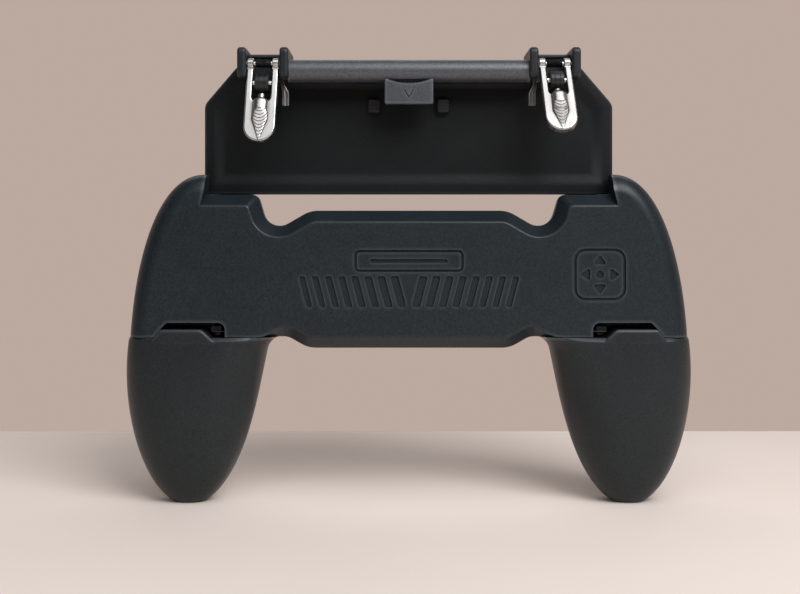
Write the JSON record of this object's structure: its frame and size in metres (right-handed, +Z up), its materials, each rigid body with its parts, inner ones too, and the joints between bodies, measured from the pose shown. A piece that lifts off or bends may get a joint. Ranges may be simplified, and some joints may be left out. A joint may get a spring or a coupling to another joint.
{
  "type": "mobile game controller",
  "caption": "Phone game grip: a spring-loaded sliding clamp holds the phone between forked trigger levers and a centre body with folding hand grips.",
  "frame": {"origin": "on the surface that the grip tips stand on, in the middle of the overall width and depth", "axes": "+Z up, -Y toward the viewer of the front, +X to the viewer's right"},
  "size_m": [0.1768, 0.0393, 0.1391],
  "materials": {
    "body_plastic": "fine moulded grain, black",
    "clamp_plastic": "satin black moulding",
    "grip_plastic": "smooth satin black",
    "black_acetal": "smooth black",
    "black_rubber": "matt black rubber",
    "lever_metal": "nickel-plated casting, satin",
    "pin_steel": "bright drawn steel",
    "screw_steel": "black-oxide steel",
    "spring_steel": "drawn spring wire"
  },
  "bodies": {
    "body": {"front_shell": "body_plastic", "rear_shell": "body_plastic", "shell_screws": "screw_steel", "left_rail_guide": "black_acetal", "right_rail_guide": "black_acetal", "left_hinge_pin": "pin_steel", "right_hinge_pin": "pin_steel", "left_latch_catch": "black_acetal", "right_latch_catch": "black_acetal", "left_tension_spring": "spring_steel", "right_tension_spring": "spring_steel"},
    "clamp": {"clamp_panel": "clamp_plastic", "clamp_hood": "clamp_plastic", "left_slide_rail": "clamp_plastic", "right_slide_rail": "clamp_plastic", "rail_screws": "screw_steel", "hood_screws": "screw_steel", "panel_pads": "black_rubber", "left_contact_strip": "lever_metal", "right_contact_strip": "lever_metal", "left_trigger_pin": "pin_steel", "right_trigger_pin": "pin_steel", "left_trigger_spring": "screw_steel", "right_trigger_spring": "screw_steel"},
    "left_trigger": {"left_trigger_lever": "lever_metal", "left_contact_roller": "black_rubber", "left_roller_pin": "pin_steel"},
    "right_trigger": {"right_trigger_lever": "lever_metal", "right_contact_roller": "black_rubber", "right_roller_pin": "pin_steel"},
    "retainer": {"phone_retainer": "clamp_plastic"},
    "left_grip": {"left_grip_front": "grip_plastic", "left_grip_rear": "grip_plastic", "left_grip_screws": "screw_steel"},
    "right_grip": {"right_grip_front": "grip_plastic", "right_grip_rear": "grip_plastic", "right_grip_screws": "screw_steel"}
  },
  "joints": [
    {"name": "clamp_slide", "type": "slide", "parent": "body", "child": "clamp", "axis": [0, 0, 1], "range_m": [0, 0.035], "stiffness_N_per_m": 240, "springref_m": -0.03, "deforming": ["left_tension_spring", "right_tension_spring"]},
    {"name": "left_trigger_press", "type": "hinge", "parent": "clamp", "child": "left_trigger", "pos_m": [-0.0439, -0.0068, 0.1343], "axis": [-1, 0, 0], "range_deg": [-8.6, 81.4], "stiffness_Nm_per_rad": 0.02},
    {"name": "right_trigger_press", "type": "hinge", "parent": "clamp", "child": "right_trigger", "pos_m": [0.0439, -0.0068, 0.1343], "axis": [-1, 0, 0], "range_deg": [-25, 65], "stiffness_Nm_per_rad": 0.02},
    {"name": "retainer_slide", "type": "slide", "parent": "clamp", "child": "retainer", "axis": [0, 0, -1], "range_m": [0, 0.0035]},
    {"name": "left_grip_fold", "type": "hinge", "parent": "body", "child": "left_grip", "pos_m": [-0.067, 0.0124, 0.0515], "axis": [1, 0, 0], "range_deg": [0, 135]},
    {"name": "right_grip_fold", "type": "hinge", "parent": "body", "child": "right_grip", "pos_m": [0.067, 0.0124, 0.0515], "axis": [1, 0, 0], "range_deg": [0, 135]}
  ]
}
